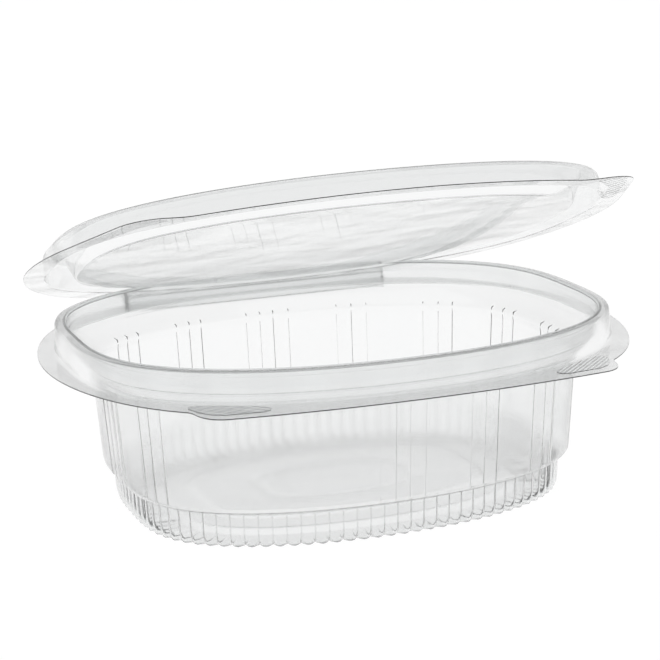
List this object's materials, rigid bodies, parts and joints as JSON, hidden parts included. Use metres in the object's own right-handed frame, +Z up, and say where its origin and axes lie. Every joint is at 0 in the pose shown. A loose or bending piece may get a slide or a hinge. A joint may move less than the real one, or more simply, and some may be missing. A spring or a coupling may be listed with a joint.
{
  "type": "takeaway meal container",
  "caption": "Empty hinged oval takeaway container of thin clear plastic: fluted tub with a raised rim and grip lugs, and a shallow lid on a living hinge standing part open.",
  "frame": {"origin": "middle of the container's footprint at the height it stands on, lid as it rests", "axes": "+X along the long axis, +Y towards the hinge at the back, +Z up"},
  "size_m": [0.1522, 0.1267, 0.0898],
  "materials": {
    "clear_plastic": "clear thermoformed plastic, gloss"
  },
  "bodies": {
    "tub": {"tub": "clear_plastic"},
    "lid": {"lid": "clear_plastic"}
  },
  "joints": [
    {"name": "lid_hinge", "type": "hinge", "parent": "tub", "child": "lid", "pos_m": [0, 0.0622, 0.0404], "axis": [-1, 0, 0], "range_deg": [-21, 155]}
  ]
}
